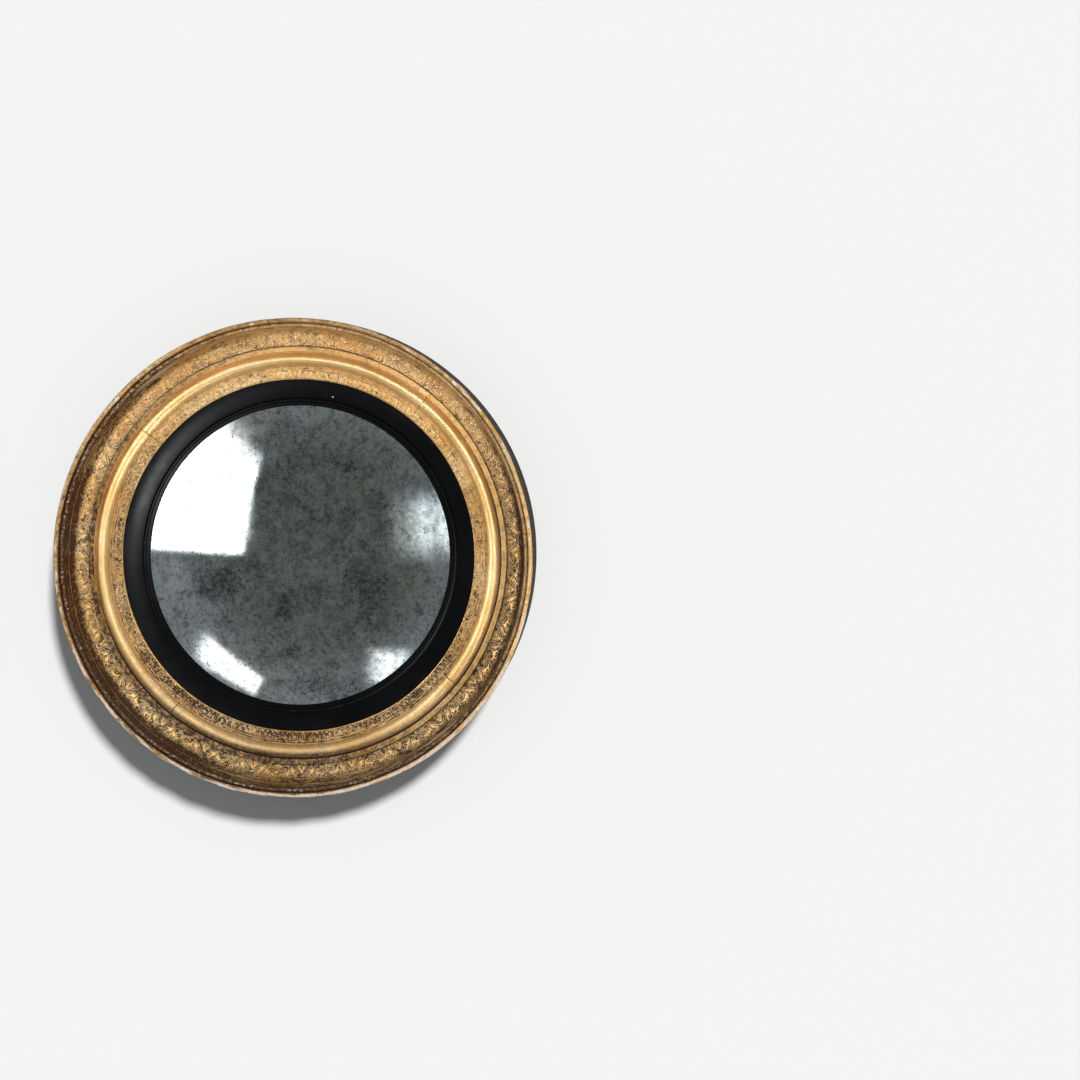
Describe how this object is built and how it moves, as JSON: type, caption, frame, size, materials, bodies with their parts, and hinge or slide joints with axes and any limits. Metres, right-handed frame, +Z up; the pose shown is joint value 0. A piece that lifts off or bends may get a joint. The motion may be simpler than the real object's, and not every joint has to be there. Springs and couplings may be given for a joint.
{
  "type": "convex wall mirror",
  "caption": "Round convex wall mirror: domed silvered glass, black reeded slip and a deep gilt hollow moulding with leaf ornament, hung by a swinging ring on its back.",
  "frame": {"origin": "centre of the flat back, where the mirror's axis meets the wall", "axes": "+Y along the mirror's axis into the wall, so the glass faces -Y; +Z up, towards the hanging ring"},
  "size_m": [0.464, 0.0653, 0.464],
  "materials": {
    "gilded_wood": "worn gilding over gesso, umber in the hollows",
    "back_wood": "dark stained softwood",
    "gilded_composition": "gilded pressed composition",
    "ebonised_wood": "satin black",
    "glass": "polished convex plate",
    "silvering": "foxed tin and mercury silvering",
    "pine": "aged pine",
    "iron": "rusted cut nails",
    "steel": "dull",
    "brass": "tarnished"
  },
  "bodies": {
    "frame": {"middle_segment_1": "gilded_wood", "middle_segment_2": "gilded_wood", "middle_segment_3": "gilded_wood", "middle_segment_4": "gilded_wood", "rim_segment_1": "gilded_wood", "rim_segment_2": "gilded_wood", "rim_segment_3": "gilded_wood", "rim_segment_4": "gilded_wood", "back_segment_1": "back_wood", "back_segment_2": "back_wood", "back_segment_3": "back_wood", "back_segment_4": "back_wood", "leaf_strip_1": "gilded_composition", "leaf_strip_2": "gilded_composition", "leaf_strip_3": "gilded_composition", "tongue_strip_1": "gilded_composition", "tongue_strip_2": "gilded_composition", "tongue_strip_3": "gilded_composition", "ebonised_slip": "ebonised_wood", "slip_brad": "steel", "convex_glass": "glass", "silvering": "silvering", "glass_blocks": "pine", "backboard_left": "pine", "backboard_middle": "pine", "backboard_right": "pine", "backboard_nails": "iron", "hanger_plate": "brass", "hanger_screws": "brass"},
    "hanger_ring": {"hanger_ring": "brass"}
  },
  "joints": [
    {"name": "ring_swing", "type": "hinge", "parent": "frame", "child": "hanger_ring", "pos_m": [0, -0.00535, 0.2], "axis": [-1, 0, 0], "range_deg": [0, 150]}
  ]
}
